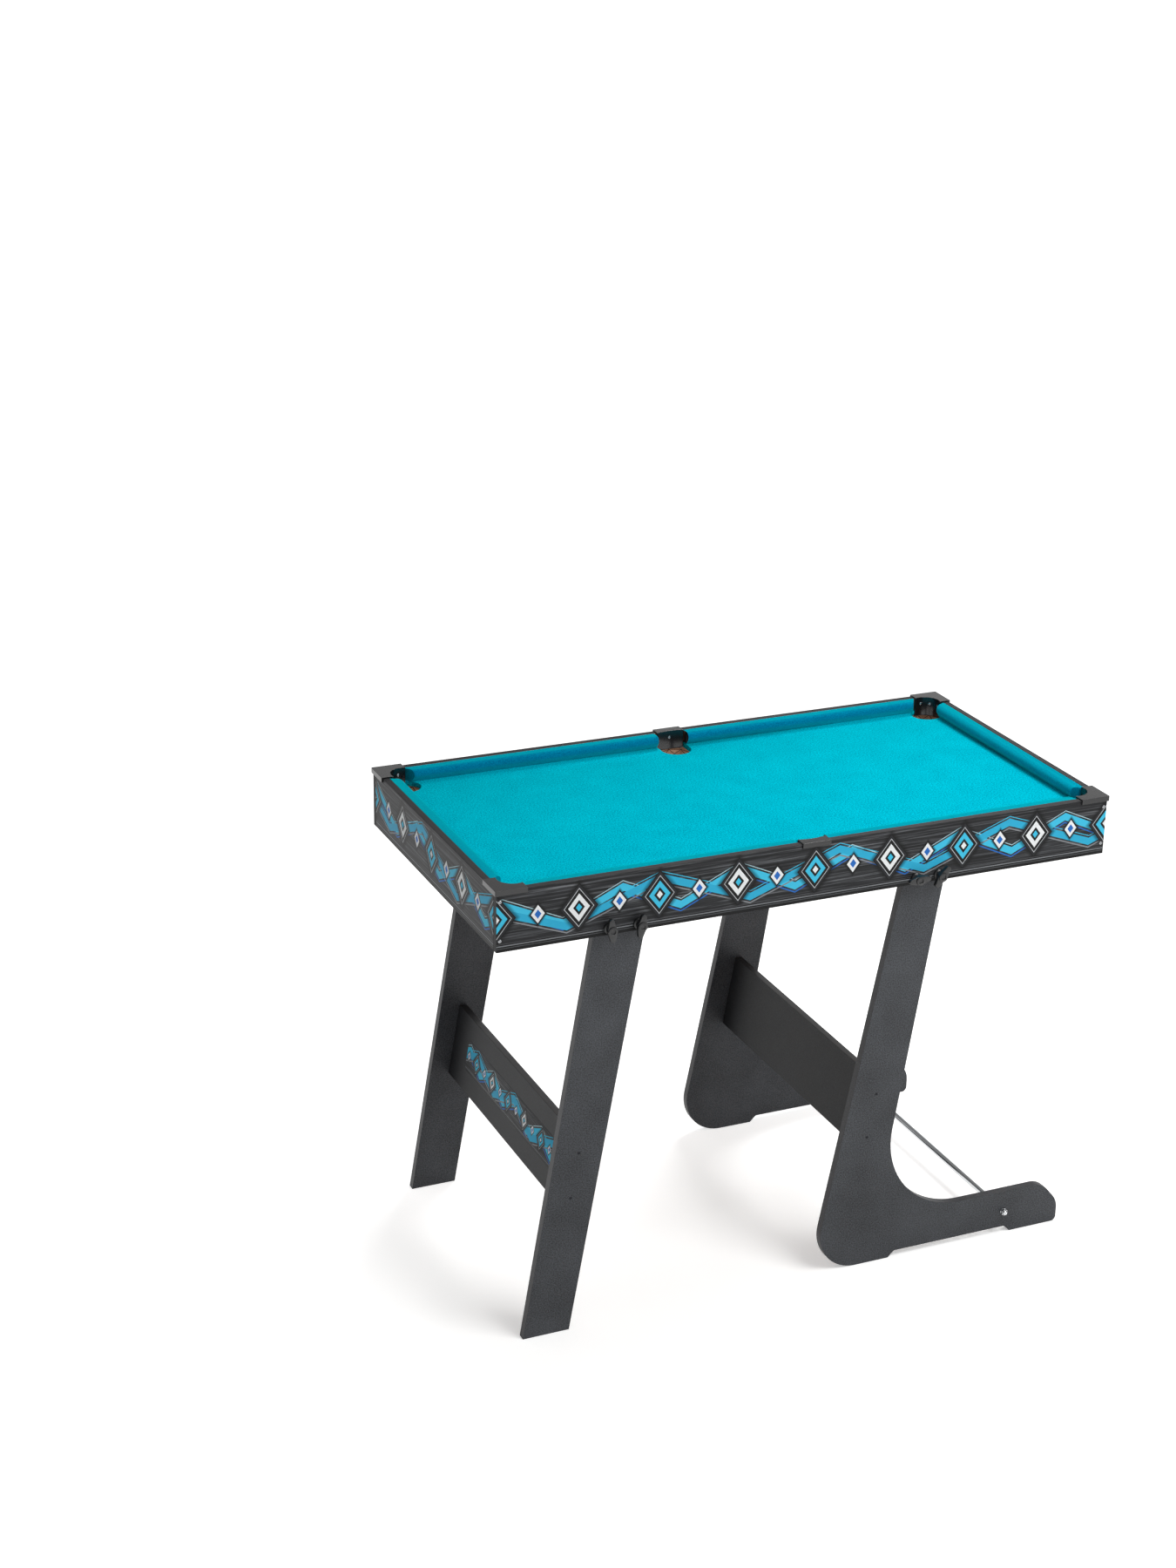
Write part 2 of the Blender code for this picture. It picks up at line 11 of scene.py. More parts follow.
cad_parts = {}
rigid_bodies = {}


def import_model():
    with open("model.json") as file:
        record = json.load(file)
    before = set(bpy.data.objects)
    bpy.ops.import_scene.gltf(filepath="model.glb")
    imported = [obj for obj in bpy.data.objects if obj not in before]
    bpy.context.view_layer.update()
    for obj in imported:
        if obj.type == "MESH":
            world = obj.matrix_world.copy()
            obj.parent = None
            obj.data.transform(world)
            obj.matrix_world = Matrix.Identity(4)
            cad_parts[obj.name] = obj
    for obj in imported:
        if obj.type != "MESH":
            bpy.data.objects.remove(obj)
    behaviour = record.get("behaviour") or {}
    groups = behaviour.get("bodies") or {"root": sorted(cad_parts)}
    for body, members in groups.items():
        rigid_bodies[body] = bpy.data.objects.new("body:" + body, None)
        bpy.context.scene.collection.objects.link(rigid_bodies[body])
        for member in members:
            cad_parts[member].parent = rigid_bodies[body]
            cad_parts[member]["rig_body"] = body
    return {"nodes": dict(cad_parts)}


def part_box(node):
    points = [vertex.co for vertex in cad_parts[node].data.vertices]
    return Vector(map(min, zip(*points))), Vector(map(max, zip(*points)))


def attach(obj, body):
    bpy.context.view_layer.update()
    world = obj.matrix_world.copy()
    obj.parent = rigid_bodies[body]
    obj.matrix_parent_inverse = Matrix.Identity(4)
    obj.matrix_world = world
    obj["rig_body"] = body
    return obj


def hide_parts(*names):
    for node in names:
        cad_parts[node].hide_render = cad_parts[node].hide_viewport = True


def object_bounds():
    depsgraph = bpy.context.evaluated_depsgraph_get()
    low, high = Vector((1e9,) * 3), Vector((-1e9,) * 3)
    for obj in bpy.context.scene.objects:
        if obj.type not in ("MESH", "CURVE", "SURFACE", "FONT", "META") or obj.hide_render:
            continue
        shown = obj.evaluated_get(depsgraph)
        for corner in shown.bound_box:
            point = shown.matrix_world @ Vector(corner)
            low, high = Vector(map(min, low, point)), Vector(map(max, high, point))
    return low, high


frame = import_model()
CAD_LOW, CAD_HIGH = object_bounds()
NODES = frame["nodes"]

# working sizes
MM = 0.001
WELD = 0.00001
FLAT_ANGLE = math.radians(0.3)
SHARP_ANGLE = math.radians(35)
SQUARE, LEANING, SLANTED = 0.99, 0.9, 0.7    # cosines within which a face counts as turned one way
SIDES = (("front", -1), ("back", 1))
ENDS = (("left", -1), ("right", 1))
JOBS = ("end_lock", "end_pivot", "stand_lock", "stand_pivot")

# places taken from the frame
APRON_LOW, APRON_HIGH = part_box("apron_front")
CLOTH_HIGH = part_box("bed_cloth")[1]
TOP_Z = CAD_HIGH.z
APRON_Y = -APRON_LOW.y
LEG_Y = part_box("end_leg_back")[1].y

# boards, cushions, cloth and pockets
BOARD_EASE = 0.8 * MM
CAP_EASE = 0.6 * MM
NOSE_R = 9 * MM
NOSE_STEPS = 15
UNDERCUT = 35                       # degrees that the strip's lower face leans in
STRIP_END_EASE = 1.2 * MM
POCKET_R = 28.8 * MM
LINER_R = 26.2 * MM
SIDE_LINER_Y = -APRON_HIGH.y - 2.3 * MM
LIP_DOWN = 9 * MM
LIP_T = 0.4 * MM
NET_COLUMNS = 8
NET_ROWS = 6
CORD_R = 0.55 * MM
KNOT_R = 1.1 * MM

# screws, bolts, knobs and rod
SCREW_R = 3.2 * MM
SCREW_T = 1.6 * MM
SCREW_UP = (20 * MM, 88 * MM)       # apron screws above the lower edge
SCREW_IN = 6 * MM                   # and in from the apron's end
LINER_SCREW_DOWN = 13 * MM
LINER_SCREW_TURNS = (-37, 0, 37)    # degrees from the corner's diagonal
BOARD_SCREW_R = 2.6 * MM
BOARD_SCREW_T = 0.7 * MM
BOARD_SCREW_UP = 42 * MM            # stretcher screws either side of the board's middle
BOLT_R = 3.0 * MM
BOLT_HEAD_R = 8.0 * MM
BOLT_HEAD_T = 4.0 * MM
BOLT_POINT = 1.0 * MM               # taper at the end of a lock bolt
THREAD_PITCH = 1.0 * MM
THREAD_DEPTH = 0.25 * MM
WING_TIP = 20.9 * MM                # out from the knob's axis
WING_TIP_R = 4.6 * MM
WING_ROOT = 4 * MM
WING_ROOT_HALF = 7.7 * MM
WING_T = 7.4 * MM
WING_EASE = 1.1 * MM
WING_UP = 9.6 * MM
WING_TURN = {"end_lock": 95, "end_pivot": 81, "stand_lock": 4, "stand_pivot": 54}
ROD_GAP = 0.3 * MM
ROD_EASE = 0.6 * MM

# labels
LABEL_LENGTH = 400 * MM
LABEL_HEIGHT = 58 * MM
LABEL_CORNER = 9 * MM
LABEL_T = 0.25 * MM
LABEL_EASE = 0.08 * MM
LABEL_GAP = 0.02 * MM

# print: lozenges and zigzags above pinstripes
PITCH = 143 * MM                    # from one large lozenge to the next
PRINT_MIDDLE = 57 * MM
BAND_HALF = 18 * MM
LABEL_BAND_HALF = 34 * MM           # before the label's scale
LABEL_SCALE = 0.53
INK_BLACK = "#0D0E0F"
INK_WHITE = "#F5F8F9"
INK_TURQUOISE = "#45C8EC"
INK_BLUE = "#2B6FC4"

# camera
CAMERA_AT = (-2.000, -3.894, 2.518)
CAMERA_AIM = (-0.2864, 0, 0.8815)
CAMERA_ROLL = math.radians(0.894)
CAMERA_LENS = 61.2
SENSOR = 36.0

# light
AIR_LEVEL = 0.32
WALL_TOP = 0.36                     # sine of the white wall's height, as glosses show it
WALL_BLUR = 0.03
CEILING_LEVEL = 0.25
FLOOR_HALF = 80
FLOOR_LIFT = 0.41                   # at the front feet
FAR_LIFT = 0.9                      # well away from them
FEET_Y = -0.3
FEET_SQUEEZE = 0.55                 # the feet stand further apart along X
LIFT_FROM, LIFT_TO = 0.3, 0.85      # metres from the front feet
# name, place, aim, size, watts and spread in degrees
LAMPS = (("front_box", (0.9, -1.7, 3.0), (0, 0, 0.85), 1.6, 62, 180),
         ("back_box", (1.3, 1.5, 3.2), (0.35, -0.2, 0.85), 0.9, 5.4, 60))


def linear(colour):
    """An sRGB hex colour as linear RGB with full cover."""
    parts = [int(colour[k:k + 2], 16) / 255 for k in (1, 3, 5)]
    return (*[c / 12.92 if c <= 0.04045 else ((c + 0.055) / 1.055) ** 2.4 for c in parts], 1)


def add(tree, kind, inputs, stops=(), blend='LINEAR', **settings):
    """One shader node. An input takes a value, a node or an output; stops are place, colour and cover."""
    made = tree.nodes.new("ShaderNode" + kind)
    for key, value in settings.items():
        setattr(made, key, value)
    for key, value in inputs.items():
        if isinstance(value, bpy.types.Node):
            value = value.outputs[0]
        if isinstance(value, bpy.types.NodeSocket):
            tree.links.new(value, made.inputs[key])
        else:
            made.inputs[key].default_value = value
    for k, (place, colour, cover) in enumerate(stops):
        row = made.color_ramp.elements
        stop = row[0] if k == 0 else row[1] if k == 1 else row.new(place)
        stop.position = place
        stop.color = (*linear(colour)[:3], cover)
        made.color_ramp.interpolation = blend
    return made


def finish(name, sockets):
    """A material with its uniform values on the shader's own sockets."""
    mat = bpy.data.materials.new(name)
    mat.use_nodes = True
    shader = mat.node_tree.nodes["Principled BSDF"]
    for key, value in sockets.items():
        shader.inputs[key].default_value = value
    return mat, mat.node_tree, shader


def felt_finish(name, dark, light, nap):
    """Napped polyester felt: no gloss, deep blue seen straight on, paler where its fibres catch light."""
    mat, tree, shader = finish(name, {
        "Roughness": 1.0, "Specular IOR Level": 0.0, "Sheen Weight": nap, "Sheen Roughness": 0.55,
        "Sheen Tint": linear("#12FFF4")})
    place = add(tree, "TexCoord", {}).outputs["Object"]
    blotch = add(tree, "TexNoise", {"Vector": place, "Scale": 1 / (40 * MM), "Detail": 4.0})
    # fibre clumps of about 1 mm, drawn 2.5 mm across so that they show
    fleck = add(tree, "TexNoise", {"Vector": place, "Scale": 1 / (2.5 * MM), "Detail": 2.0})
    both = add(tree, "Math", {0: blotch, 1: 0.14, 2: fleck}, operation="MULTIPLY_ADD")
    colour = add(tree, "ValToRGB", {"Fac": both}, stops=[(0.32, dark, 1), (0.82, light, 1)])
    tree.links.new(colour.outputs[0], shader.inputs["Base Color"])
    bump = add(tree, "Bump", {"Strength": 0.35, "Distance": 0.4 * MM, "Height": fleck})
    tree.links.new(bump.outputs[0], shader.inputs["Normal"])
    return mat


def leg_foil_finish(name, dark, light, rough, shine=0.35):
    """Embossed PVC foil or edge band on fibreboard: an even dark grey broken by a fine pebble grain."""
    mat, tree, shader = finish(name, {"IOR": 1.5, "Specular IOR Level": shine})
    place = add(tree, "TexCoord", {}).outputs["Object"]
    # embossing pitch is about 0.6 mm, drawn at 2.2 mm so that it shows
    grain = add(tree, "TexNoise", {"Vector": place, "Scale": 1 / (2.2 * MM), "Detail": 2.0})
    cloud = add(tree, "TexNoise", {"Vector": place, "Scale": 1 / (90 * MM), "Detail": 2.0})
    mixed = add(tree, "Math", {0: cloud, 1: 0.35, 2: grain}, operation="MULTIPLY_ADD")
    colour = add(tree, "ValToRGB", {"Fac": mixed}, stops=[(0.45, dark, 1), (0.9, light, 1)])
    tree.links.new(colour.outputs[0], shader.inputs["Base Color"])
    gloss = add(tree, "MapRange", {"Value": grain, "To Min": rough - 0.06, "To Max": rough + 0.06})
    tree.links.new(gloss.outputs[0], shader.inputs["Roughness"])
    bump = add(tree, "Bump", {"Strength": 0.25, "Distance": 0.15 * MM, "Height": grain})
    tree.links.new(bump.outputs[0], shader.inputs["Normal"])
    return mat


def fibreboard_finish():
    """Raw fibreboard: warm brown pressed wood dust, dull, with darker and paler fibres."""
    mat, tree, shader = finish("raw_fibreboard", {"Roughness": 0.9, "Specular IOR Level": 0.2})
    place = add(tree, "TexCoord", {}).outputs["Object"]
    fibre = add(tree, "TexNoise", {"Vector": place, "Scale": 1 / (3 * MM), "Detail": 5.0, "Roughness": 0.75})
    colour = add(tree, "ValToRGB", {"Fac": fibre}, stops=[(0.3, "#A0745A", 1), (0.7, "#C9A184", 1)])
    tree.links.new(colour.outputs[0], shader.inputs["Base Color"])
    bump = add(tree, "Bump", {"Strength": 0.3, "Distance": 0.2 * MM, "Height": fibre})
    tree.links.new(bump.outputs[0], shader.inputs["Normal"])
    return mat


def moulded_plastic_finish(name, dark, light, rough):
    """Injection-moulded black ABS: satin, with the fine spark grain of its mould."""
    mat, tree, shader = finish(name, {"IOR": 1.53})
    place = add(tree, "TexCoord", {}).outputs["Object"]
    # spark grain is about 0.3 mm, drawn at 1.1 mm so that it shows
    grain = add(tree, "TexNoise", {"Vector": place, "Scale": 1 / (1.1 * MM), "Detail": 2.0})
    colour = add(tree, "ValToRGB", {"Fac": grain}, stops=[(0.3, dark, 1), (0.75, light, 1)])
    tree.links.new(colour.outputs[0], shader.inputs["Base Color"])
    gloss = add(tree, "MapRange", {"Value": grain, "To Min": rough - 0.06, "To Max": rough + 0.06})
    tree.links.new(gloss.outputs[0], shader.inputs["Roughness"])
    bump = add(tree, "Bump", {"Strength": 0.2, "Distance": 0.08 * MM, "Height": grain})
    tree.links.new(bump.outputs[0], shader.inputs["Normal"])
    return mat


def plated_finish(name, colour, rough):
    """Polished steel, plated or blackened: a mirror in its own colour, with faint polishing haze."""
    mat, tree, shader = finish(name, {"Base Color": linear(colour), "Metallic": 1.0})
    place = add(tree, "TexCoord", {}).outputs["Object"]
    haze = add(tree, "TexNoise", {"Vector": place, "Scale": 1 / (6 * MM), "Detail": 3.0})
    gloss = add(tree, "MapRange", {"Value": haze, "To Min": rough * 0.7, "To Max": rough * 1.4})
    tree.links.new(gloss.outputs[0], shader.inputs["Roughness"])
    return mat


def net_cord_finish():
    """Twisted nylon twine: dark brown, dull, with paler plies."""
    mat, tree, shader = finish("net_twine", {"Roughness": 0.8, "Specular IOR Level": 0.3})
    place = add(tree, "TexCoord", {}).outputs["Object"]
    ply = add(tree, "TexNoise", {"Vector": place, "Scale": 1 / (1.5 * MM), "Detail": 2.0})
    colour = add(tree, "ValToRGB", {"Fac": ply}, stops=[(0.3, "#2A1A12", 1), (0.7, "#5B3F2E", 1)])
    tree.links.new(colour.outputs[0], shader.inputs["Base Color"])
    return mat


def streaked_ground(tree, flat):
    """Brushed grey streaks 4 mm high and about 200 mm long."""
    drawn = add(tree, "Mapping", {"Vector": flat, "Scale": (1 / (200 * MM), 1 / (4 * MM), 1)})
    streak = add(tree, "TexNoise", {"Vector": drawn, "Scale": 1.0, "Detail": 5.0, "Roughness": 0.65})
    return add(tree, "ValToRGB", {"Fac": streak}, stops=[
        (0.34, "#131415", 1), (0.5, "#28292B", 1), (0.62, "#56585B", 1), (0.74, "#9A9DA1", 1)]).outputs[0]


def zigzag_bands(tree, paint, u, v, half):
    """Two bands that climb and fall along the board, each with a thin line on either side."""
    bands = ((210 * MM, 24 * MM, 37 * MM, INK_TURQUOISE, INK_BLUE, "#BCDFE8"),
             (330 * MM, 30 * MM, 120 * MM, "#34B4DC", "#8A8D91", INK_TURQUOISE))
    for wave, swing, start, broad, first, last in bands:
        moved = add(tree, "Math", {0: u, 1: start}, operation="ADD")
        climb = add(tree, "Math", {0: moved, 1: wave / 2}, operation="PINGPONG")
        lift = add(tree, "Math", {0: climb, 1: -4 * swing / wave, 2: v}, operation="MULTIPLY_ADD")
        band = add(tree, "MapRange", {"Value": lift, "From Min": PRINT_MIDDLE - swing - half,
                                      "From Max": PRINT_MIDDLE - swing + half})
        ramp = add(tree, "ValToRGB", {"Fac": band}, blend='CONSTANT', stops=[
            (0.0, first, 0), (0.16, first, 1), (0.23, first, 0), (0.31, broad, 1), (0.69, broad, 0),
            (0.78, last, 1), (0.82, last, 0)])
        paint = add(tree, "Mix", {0: ramp.outputs["Alpha"], 6: paint, 7: ramp.outputs["Color"]},
                    data_type='RGBA').outputs[2]
    return paint


def lozenges(tree, paint, u, v):
    """A row of nested lozenges, large and small by turns, each over a soft printed shadow."""
    rim = ((0.56, INK_BLACK, 1), (0.74, "#C9CDD0", 1), (0.78, "#232427", 1), (0.92, INK_BLACK, 1),
           (1.0, INK_BLACK, 0))
    first = ((0.0, INK_WHITE, 1), (0.16, INK_BLACK, 1), (0.3, INK_TURQUOISE, 1), *rim)
    second = ((0.0, INK_TURQUOISE, 1), (0.16, INK_BLACK, 1), (0.3, INK_WHITE, 1), *rim)
    small = ((0.0, INK_BLUE, 1), (0.4, INK_WHITE, 1), (0.8, INK_BLACK, 1), (1.0, INK_BLACK, 0))
    even = add(tree, "Math", {0: u, 1: PITCH}, operation="PINGPONG")
    odd = add(tree, "Math", {0: PITCH, 1: even}, operation="SUBTRACT")
    halfway = add(tree, "Math", {0: even, 1: PITCH / 2}, operation="SUBTRACT")
    beside = add(tree, "Math", {0: halfway}, operation="ABSOLUTE")
    rise = add(tree, "Math", {0: v, 1: PRINT_MIDDLE}, operation="SUBTRACT")
    tall = add(tree, "Math", {0: rise}, operation="ABSOLUTE")
    rows = ((beside, 15 * MM, 20 * MM, small), (even, 34 * MM, 44 * MM, first),
            (odd, 34 * MM, 44 * MM, second))
    for spread, half_wide, half_tall, rings in rows:
        wide = add(tree, "Math", {0: spread, 1: 1 / half_wide}, operation="MULTIPLY")
        field = add(tree, "Math", {0: tall, 1: 1 / half_tall, 2: wide}, operation="MULTIPLY_ADD")
        shade = add(tree, "MapRange", {"Value": field, "From Min": 1.0, "From Max": 1.3, "To Min": 0.3,
                                       "To Max": 1.0}, interpolation_type='SMOOTHSTEP')
        paint = add(tree, "Mix", {0: 1.0, 6: paint, 7: shade.outputs[0]}, data_type='RGBA',
                    blend_type='MULTIPLY').outputs[2]
        ramp = add(tree, "ValToRGB", {"Fac": field}, stops=rings, blend='CONSTANT')
        paint = add(tree, "Mix", {0: ramp.outputs["Alpha"], 6: paint, 7: ramp.outputs["Color"]},
                    data_type='RGBA').outputs[2]
    return paint


def pinstripes(tree, paint, v):
    """Pale lines over a black band at the lower edge."""
    height = add(tree, "MapRange", {"Value": v, "From Max": 100 * MM})
    stripes = add(tree, "ValToRGB", {"Fac": height}, blend='CONSTANT', stops=[
        (0.0, INK_BLACK, 1), (0.055, "#55575A", 1), (0.07, INK_BLACK, 1), (0.09, "#7F8286", 1),
        (0.11, INK_BLACK, 1), (0.13, "#48494C", 1), (0.142, INK_BLACK, 0)])
    return add(tree, "Mix", {0: stripes.outputs["Alpha"], 6: paint, 7: stripes.outputs["Color"]},
               data_type='RGBA').outputs[2]


def printed_foil_finish(name, along, up, base, scale, half):
    """Gravure-printed paper foil under satin lacquer: flat inks with sharp edges on streaked charcoal.
    The design is in metres along the board and up from its lower edge, at the given scale,
    with bands twice as wide as half."""
    mat, tree, shader = finish(name, {"Roughness": 0.5, "IOR": 1.5, "Specular IOR Level": 0.18})
    place = add(tree, "SeparateXYZ", {0: add(tree, "TexCoord", {}).outputs["Object"]})
    u = add(tree, "Math", {0: place.outputs[along], 1: 1 / scale}, operation="MULTIPLY")
    v = add(tree, "Math", {0: place.outputs[up], 1: 1 / scale, 2: -base / scale}, operation="MULTIPLY_ADD")
    paint = streaked_ground(tree, add(tree, "CombineXYZ", {0: u, 1: v}))
    paint = zigzag_bands(tree, paint, u, v, half)
    paint = lozenges(tree, paint, u, v)
    paint = pinstripes(tree, paint, v)
    tree.links.new(paint, shader.inputs["Base Color"])
    return mat


BED_FELT = felt_finish("napped_bed_felt", "#007292", "#02D2E4", 0.15)
# the bed's felt with a darker base colour, painted shade for the strips' faces, and stronger sheen
SHADE_DARKENED_RAIL_FELT = felt_finish("rail_felt_with_painted_shade", "#005A84", "#0082AC", 1.0)
LEG_FOIL = leg_foil_finish("charcoal_leg_foil", "#151619", "#4F5257", 0.5)
STRETCHER_FOIL = leg_foil_finish("black_stretcher_foil", "#0B0C0D", "#2A2B2E", 0.5, 0.2)
LEG_EDGE = leg_foil_finish("charcoal_edge_band", "#202124", "#3A3B3F", 0.45)
APRON_EDGE = leg_foil_finish("black_edge_band", "#1E1E1F", "#303032", 0.6, 0.2)
FIBREBOARD = fibreboard_finish()
CAP_PLASTIC = moulded_plastic_finish("cap_plastic", "#0D0D0F", "#171719", 0.2)
KNOB_PLASTIC = moulded_plastic_finish("knob_plastic", "#0F1012", "#1A1B1D", 0.36)
CHROME = plated_finish("chrome_plate", "#D6D8DA", 0.12)
ZINC = plated_finish("zinc_plate", "#9C9EA1", 0.22)
BLACK_STEEL = plated_finish("blackened_steel", "#2C2D30", 0.35)
TWINE = net_cord_finish()
LONG_PRINT = printed_foil_finish("long_apron_print", 0, 2, APRON_LOW.z, 1.0, BAND_HALF)
SHORT_PRINT = printed_foil_finish("short_apron_print", 1, 2, APRON_LOW.z, 1.0, BAND_HALF)
LABEL_PRINT = printed_foil_finish("stretcher_label_print", 0, 1, -LABEL_HEIGHT / 2, LABEL_SCALE,
                                  LABEL_BAND_HALF)


def placed(name, data):
    """A new object of the scene."""
    ob = bpy.data.objects.new(name, data)
    bpy.context.scene.collection.objects.link(ob)
    return ob


def shown(name, mesh, *looks):
    """A mesh as an object of the scene, shaded round except at sharp edges."""
    for look in looks:
        mesh.materials.append(look)
    mesh.shade_smooth()
    mesh.set_sharp_from_angle(angle=SHARP_ANGLE)
    return placed(name, mesh)


def stand_in(ob, node):
    """The piece takes a CAD node's place and moves with that node's body."""
    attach(ob, NODES[node]["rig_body"])
    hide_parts(node)


def baked(ob):
    """The object's shape after its modifiers, as one plain mesh."""
    mesh = bpy.data.meshes.new_from_object(ob.evaluated_get(bpy.context.evaluated_depsgraph_get()))
    bpy.data.objects.remove(ob, do_unlink=True)
    mesh.materials.clear()
    return mesh


def welded(bm, name):
    """The finished mesh, its doubled points joined and its faces turned outward."""
    bmesh.ops.remove_doubles(bm, verts=bm.verts, dist=WELD)
    bmesh.ops.recalc_face_normals(bm, faces=bm.faces)
    mesh = bpy.data.meshes.new(name)
    bm.to_mesh(mesh)
    bm.free()
    return mesh


def eased(node, name, looks, ease, pick=None):
    """A CAD node's shape with its sharp edges rounded over; pick gives a face its look by its normal."""
    bm = bmesh.new()
    bm.from_mesh(NODES[node].data)
    bmesh.ops.remove_doubles(bm, verts=bm.verts, dist=WELD)
    bmesh.ops.dissolve_limit(bm, angle_limit=FLAT_ANGLE, verts=bm.verts, edges=bm.edges)
    sharp = [e for e in bm.edges if e.is_manifold and e.calc_face_angle() > SHARP_ANGLE]
    bmesh.ops.bevel(bm, geom=sharp, offset=ease, offset_type='OFFSET', segments=2, profile=0.5,
                    affect='EDGES', clamp_overlap=True, material=-1)
    if pick:
        for face in bm.faces:
            face.material_index = pick(face.normal)
    ob = shown(name, welded(bm, name), *looks)
    flat = ob.modifiers.new("Flat faces", 'WEIGHTED_NORMAL')
    flat.keep_sharp = True
    return ob


def flat_shape(name, outlines, fill):
    """Filled outlines on Z = 0 as a curve object; an outline inside another is a hole."""
    curve = bpy.data.curves.new(name, 'CURVE')
    curve.dimensions, curve.fill_mode = '2D', fill
    for outline in outlines:
        spline = curve.splines.new('POLY')
        spline.points.add(len(outline) - 1)
        for point, (x, y) in zip(spline.points, outline):
            point.co = (x, y, 0, 1)
        spline.use_cyclic_u = True
    return placed(name, curve)


def outline_plate(name, outline, thick, ease):
    """A plate of the outline's shape with rounded edges, lying on Z = 0."""
    ob = flat_shape(name, [outline], 'BOTH')
    ob.data.extrude = thick / 2 - ease
    ob.data.bevel_depth, ob.data.bevel_resolution, ob.data.offset = ease, 2, -ease
    mesh = baked(ob)
    mesh.transform(Matrix.Translation((0, 0, thick / 2)))
    bm = bmesh.new()
    bm.from_mesh(mesh)
    bpy.data.meshes.remove(mesh)
    return welded(bm, name)


def spun(name, profile, steps):
    """Radius and height pairs, from the top of the axis down the outside, spun about Z."""
    mesh = bpy.data.meshes.new(name)
    mesh.from_pydata([(r, 0, h) for r, h in profile], [(k, k + 1) for k in range(len(profile) - 1)], [])
    ob = placed(name, mesh)
    turn = ob.modifiers.new("Turn", 'SCREW')
    turn.steps = turn.render_steps = steps
    turn.use_merge_vertices, turn.merge_threshold = True, WELD
    return ob


def facing(sy):
    """Turns +Z to face the front (-1) or the back (1) of the table."""
    return Matrix.Rotation(math.radians(-90 * sy), 4, 'X')


def circle(x, y, r, steps=72):
    """Points round a circle."""
    return [(x + r * math.cos(2 * math.pi * k / steps), y + r * math.sin(2 * math.pi * k / steps))
            for k in range(steps)]


def middle(node):
    """Middle of a CAD node's box."""
    low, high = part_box(node)
    return (low + high) / 2


POCKETS = {name: middle(f"net_{name}").xy for name in
           ("front_left", "front_right", "back_left", "back_right", "front", "back")}


def aprons():
    """Print outside, raw board inside, black band on every edge."""
    boards = (("front", LONG_PRINT, Vector((0, -1, 0))), ("back", LONG_PRINT, Vector((0, 1, 0))),
              ("left", SHORT_PRINT, Vector((-1, 0, 0))), ("right", SHORT_PRINT, Vector((1, 0, 0))))
    for side, ink, out in boards:
        ob = eased(f"apron_{side}", f"printed_apron_{side}", (ink, APRON_EDGE, FIBREBOARD), BOARD_EASE,
                   pick=lambda n: 0 if n.dot(out) > SQUARE else 2 if n.dot(out) < -SQUARE else 1)
        stand_in(ob, f"apron_{side}")


def bed_cloth():
    """Felt stretched over the bed and tucked down at its corner holes and side slots."""
    x, y, r, hub_y = CLOTH_HIGH.x, CLOTH_HIGH.y, POCKET_R, POCKETS["back"].y
    bow = [math.pi * k / 36 for k in range(37)]
    slot = [(-r, -y), *[(-r * math.cos(a), r * math.sin(a) - hub_y) for a in bow], (r, -y)]
    front = [(-x, -y), *slot, (x, -y)]
    outlines = [front + [(-a, -b) for a, b in front]]
    outlines += [circle(*hub, r) for name, hub in POCKETS.items() if "_" in name]
    bm = bmesh.new()
    bm.from_mesh(baked(flat_shape("playing_cloth", outlines, 'FRONT')))
    bmesh.ops.remove_doubles(bm, verts=bm.verts, dist=WELD)
    bmesh.ops.translate(bm, verts=bm.verts, vec=(0, 0, CLOTH_HIGH.z))
    for name, hub in POCKETS.items():
        tuck(bm, hub, "_" not in name)
    mesh = welded(bm, "playing_cloth")
    if sum(f.normal.z for f in mesh.polygons) < 0:
        mesh.flip_normals()
    ob = shown("playing_cloth", mesh, BED_FELT)
    thick = ob.modifiers.new("Cloth thickness", 'SOLIDIFY')
    thick.thickness, thick.offset = LIP_T, -1
    stand_in(ob, "bed_cloth")


def tuck(bm, hub, slot):
    """Folds the cloth down round a pocket: a round hole, or a slot that runs out to the rail."""
    def outward(at):
        reach = math.copysign(max(abs(hub.y), abs(at.y)), hub.y) if slot else hub.y
        return at.xy - Vector((hub.x, reach))

    rim = [e for e in bm.edges if e.is_boundary
           and all(outward(v.co).length < POCKET_R + LIP_T for v in e.verts)]
    # two short steps round the fold over, the last one hangs
    for inward, down in ((LIP_T * 0.7, LIP_T * 0.3), (LIP_T * 0.3, LIP_T * 0.7), (0, LIP_DOWN)):
        made = bmesh.ops.extrude_edge_only(bm, edges=rim)["geom"]
        for v in (g for g in made if isinstance(g, bmesh.types.BMVert)):
            v.co -= (outward(v.co).normalized() * inward).to_3d() + Vector((0, 0, down))
        rim = [g for g in made if isinstance(g, bmesh.types.BMEdge)]


def strip_section(wide, tall):
    """Depth and height of the strip's section: flat top, nose and undercut face."""
    swing = [math.radians(90 - k * (90 + UNDERCUT) / NOSE_STEPS) for k in range(NOSE_STEPS + 1)]
    nose = [(wide - NOSE_R + NOSE_R * math.cos(a), tall - NOSE_R + NOSE_R * math.sin(a)) for a in swing]
    foot = nose[-1][0] - nose[-1][1] * math.tan(math.radians(UNDERCUT))
    return [(0, 0), (0, tall), *nose, (foot, 0)]


